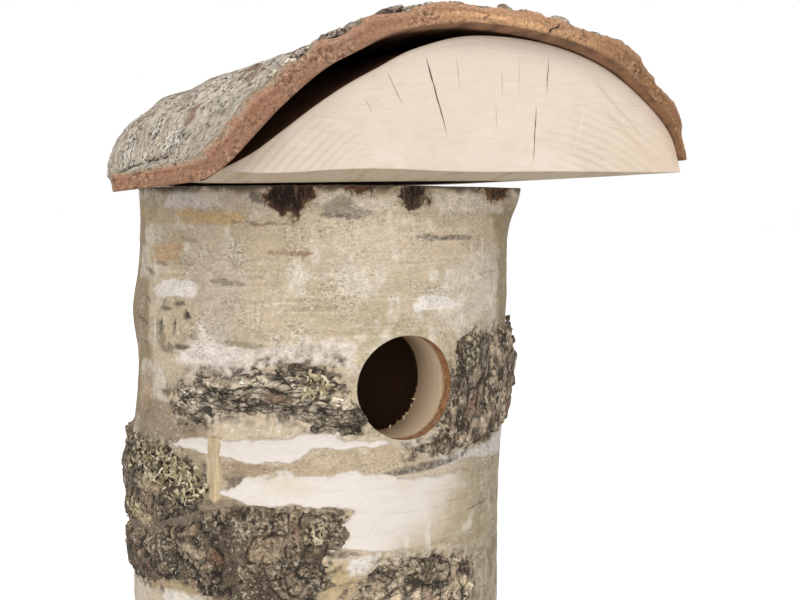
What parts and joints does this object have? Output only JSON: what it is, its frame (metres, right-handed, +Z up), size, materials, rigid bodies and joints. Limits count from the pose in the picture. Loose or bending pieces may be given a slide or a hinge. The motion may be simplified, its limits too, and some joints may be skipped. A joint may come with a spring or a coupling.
{
  "type": "birch log nest box",
  "caption": "Hollow birch log nest box for small birds, with a round entry hole and a bark-covered half-log roof located by a plug in the log's bore",
  "frame": {"origin": "centre of the log's flat sawn base, on the log's axis", "axes": "+Z up the log, -Y out of the entry hole, +X to the right as seen facing the hole"},
  "size_m": [0.1979, 0.196, 0.2395],
  "materials": {
    "log_wood": "bored birch heartwood, smooth inside the entry hole",
    "paper_bark": "matt birch paper bark, beige to grey-green",
    "board_wood": "sawn softwood disc, matt",
    "slab_wood": "sawn birch end grain, matt, with drying checks",
    "roof_bark": "weathered grey bark outside, red-brown on its cut edge",
    "rough_bark": "fissured old bark, dark and dry",
    "knot_bark": "grown-over branch knot, matt",
    "peeling_bark": "loose chalky white birch bark",
    "torn_bark": "torn inner bark, fibrous brown"
  },
  "bodies": {
    "root": {"log_wall": "log_wood", "log_bark": "paper_bark", "floor_disc": "board_wood", "roof_plug": "board_wood", "roof_slab": "slab_wood", "roof_bark": "roof_bark", "bark_left": "rough_bark", "bark_right": "rough_bark", "bark_flank": "rough_bark", "bark_lower_left": "rough_bark", "bark_lower_right": "rough_bark", "bark_rear_left": "rough_bark", "bark_rear_right": "rough_bark", "bark_rear_low": "rough_bark", "bark_base": "rough_bark", "knot": "knot_bark", "peel_band": "peeling_bark", "peel_sheet": "peeling_bark", "peel_strip": "peeling_bark", "scar_wide": "torn_bark", "scar_small": "torn_bark", "scar_deep": "torn_bark", "scar_right": "torn_bark"}
  },
  "joints": []
}
